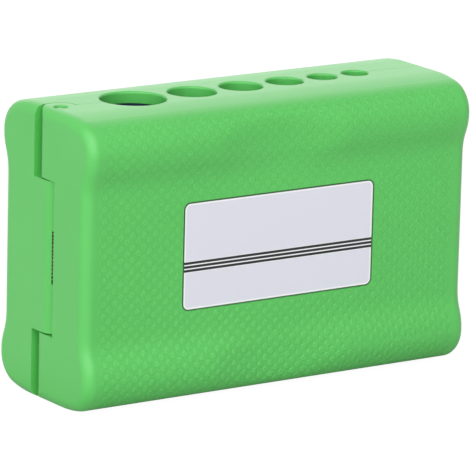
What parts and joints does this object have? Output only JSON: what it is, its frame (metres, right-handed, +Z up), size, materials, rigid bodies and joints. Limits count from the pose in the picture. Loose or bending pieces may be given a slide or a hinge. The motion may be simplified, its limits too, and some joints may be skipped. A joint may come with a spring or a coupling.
{
  "type": "cable tube cutter",
  "caption": "Hinged two-half hand tool: a waisted moulded case that closes round a cable tube in one of its graded round channels and slits it with inner blades.",
  "frame": {"origin": "under the middle of the closed case, on the surface that its lower port face stands on", "axes": "+Z up along the channels, +X along the row of ports away from the hinge towards the smallest port, -Y towards the half with the label"},
  "size_m": [0.1034, 0.038, 0.0669],
  "materials": {
    "green_plastic": "moulded green plastic, grained on the broad faces and satin on ends and edges",
    "dark_plastic": "near-black moulded plastic, fine satin",
    "plate_steel": "cold-rolled steel sheet",
    "blade_steel": "hardened steel, ground bevels",
    "screw_steel": "zinc-plated steel",
    "pin_steel": "ground steel rod",
    "spring_steel": "drawn spring wire",
    "label_film": "pale silver-grey printed film with dark stripes"
  },
  "bodies": {
    "back_half": {"back_shell": "green_plastic", "back_guide_block": "dark_plastic", "back_backing_plate": "plate_steel", "back_blade_1": "blade_steel", "back_blade_2": "blade_steel", "back_blade_3": "blade_steel", "back_blade_4": "blade_steel", "back_blade_5": "blade_steel", "back_blade_6": "blade_steel", "back_block_screws": "screw_steel", "hinge_spring": "spring_steel"},
    "front_half": {"front_shell": "green_plastic", "front_guide_block": "dark_plastic", "front_backing_plate": "plate_steel", "front_blade_1": "blade_steel", "front_blade_2": "blade_steel", "front_blade_3": "blade_steel", "front_blade_4": "blade_steel", "front_blade_5": "blade_steel", "front_blade_6": "blade_steel", "front_block_screws": "screw_steel", "hinge_pin": "pin_steel", "label_plate": "label_film"}
  },
  "joints": [
    {"name": "hinge", "type": "hinge", "parent": "back_half", "child": "front_half", "pos_m": [-0.0477, 0, 0.03345], "axis": [0, 0, -1], "range_deg": [0, 90], "stiffness_Nm_per_rad": 0.035, "springref_deg": -57.3, "deforming": ["hinge_spring"]}
  ]
}
